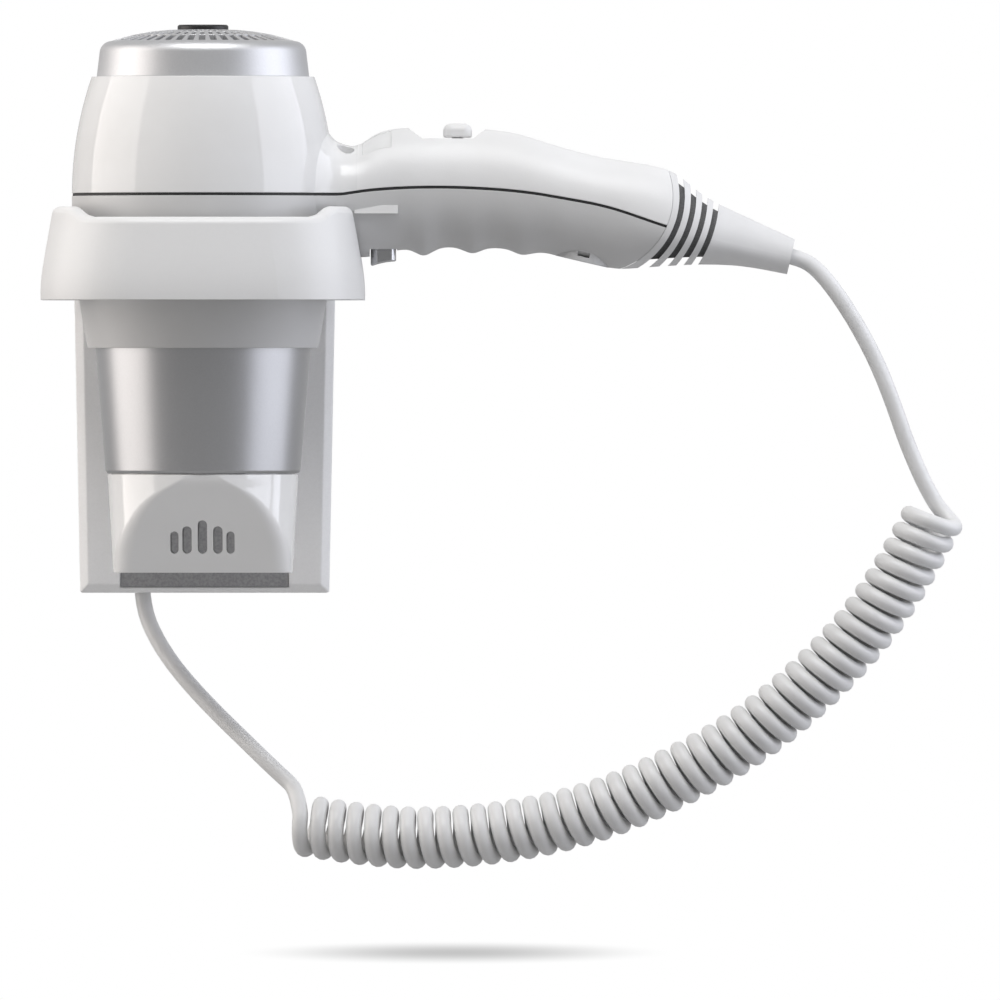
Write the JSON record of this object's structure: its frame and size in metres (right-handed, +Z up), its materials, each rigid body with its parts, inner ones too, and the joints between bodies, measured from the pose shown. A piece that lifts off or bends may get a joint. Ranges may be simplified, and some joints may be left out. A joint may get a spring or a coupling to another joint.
{
  "type": "wall-mounted hair dryer",
  "caption": "Wall-mounted hair dryer hanging nozzle-down in a flared wall holder, with a slide switch, push button, slotted nozzle tip and a curly cord between handle and holder.",
  "frame": {"origin": "centre of the four wall screws, on the back face of the wall plate", "axes": "+Y into the wall, +Z up, +X along the handle as seen from the front"},
  "size_m": [0.3223, 0.1251, 0.2958],
  "materials": {
    "holder_plastic": "fine grained white plastic",
    "white_plastic": "gloss white plastic",
    "soft_white": "satin white elastomer",
    "dark_plastic": "dark grey plastic",
    "dark_rubber": "dark grey elastomer",
    "silver": "satin silver",
    "steel": "bright steel",
    "brass": "plain brass",
    "cast": "dark sintered",
    "mica": "pale mica board",
    "cord_white": "white insulated cord"
  },
  "bodies": {
    "holder": {"wall_plate": "holder_plastic", "holder_cover": "holder_plastic", "holder_collar": "holder_plastic", "terminal_cover": "dark_plastic", "terminal_cover_screws": "steel", "cover_screws": "steel", "collar_screws": "steel", "terminal_block": "white_plastic", "terminal_screws": "brass", "cord_grommet": "soft_white", "holder_cord_clamp": "white_plastic", "holder_clamp_screws": "steel", "holder_cord_tail": "cord_white", "holder_leads": "cord_white", "cord_lower": "cord_white", "cord_coil": "cord_white", "cord_upper": "cord_white"},
    "dryer": {"rear_housing": "white_plastic", "front_housing": "white_plastic", "housing_seal": "dark_plastic", "housing_screws": "steel", "intake_cap": "silver", "centre_disc": "dark_plastic", "intake_filter": "dark_plastic", "nozzle_ring": "silver", "outlet_grille": "dark_plastic", "fan_duct": "dark_plastic", "motor_can": "steel", "motor_screws": "steel", "motor_magnets": "cast", "motor_end_cap": "dark_plastic", "motor_brushes": "cast", "motor_bushes": "brass", "mica_sleeve": "mica", "mica_board_wide": "mica", "mica_board_cross": "mica", "heater_wire": "steel", "thermostat": "steel", "thermal_fuse": "steel", "slide_switch": "dark_plastic", "switch_screws": "steel", "push_switch": "dark_plastic", "button_spring": "steel", "suppressor_capacitor": "mica", "motor_leads": "cord_white", "heater_leads": "cord_white", "handle_leads": "cord_white", "handle_cord_clamp": "white_plastic", "handle_clamp_screws": "steel", "dryer_cord_tail": "cord_white", "cord_boot": "soft_white", "boot_core": "dark_rubber"},
    "rotor": {"rotor_shaft": "steel", "armature": "steel", "commutator": "brass", "fan": "dark_plastic"},
    "concentrator": {"nozzle_tip": "white_plastic"},
    "slider": {"switch_knob": "white_plastic"},
    "button": {"push_button": "silver"}
  },
  "joints": [
    {"name": "dryer_lift", "type": "slide", "parent": "holder", "child": "dryer", "axis": [0, 0, 1], "range_m": [0, 0.14], "deforming": ["cord_upper", "cord_coil", "cord_lower"]},
    {"name": "rotor_spin", "type": "hinge", "parent": "dryer", "child": "rotor", "pos_m": [0, -0.068, 0.09], "axis": [0, 0, 1], "continuous": true},
    {"name": "tip_turn", "type": "hinge", "parent": "dryer", "child": "concentrator", "pos_m": [0, -0.068, -0.0284], "axis": [0, 0, 1], "continuous": true},
    {"name": "switch_slide", "type": "slide", "parent": "dryer", "child": "slider", "axis": [1, 0, 0], "range_m": [-0.007, 0]},
    {"name": "button_press", "type": "slide", "parent": "dryer", "child": "button", "axis": [0, 0, 1], "range_m": [0, 0.003], "stiffness_N_per_m": 400, "springref_m": -0.002, "deforming": ["button_spring"]}
  ]
}
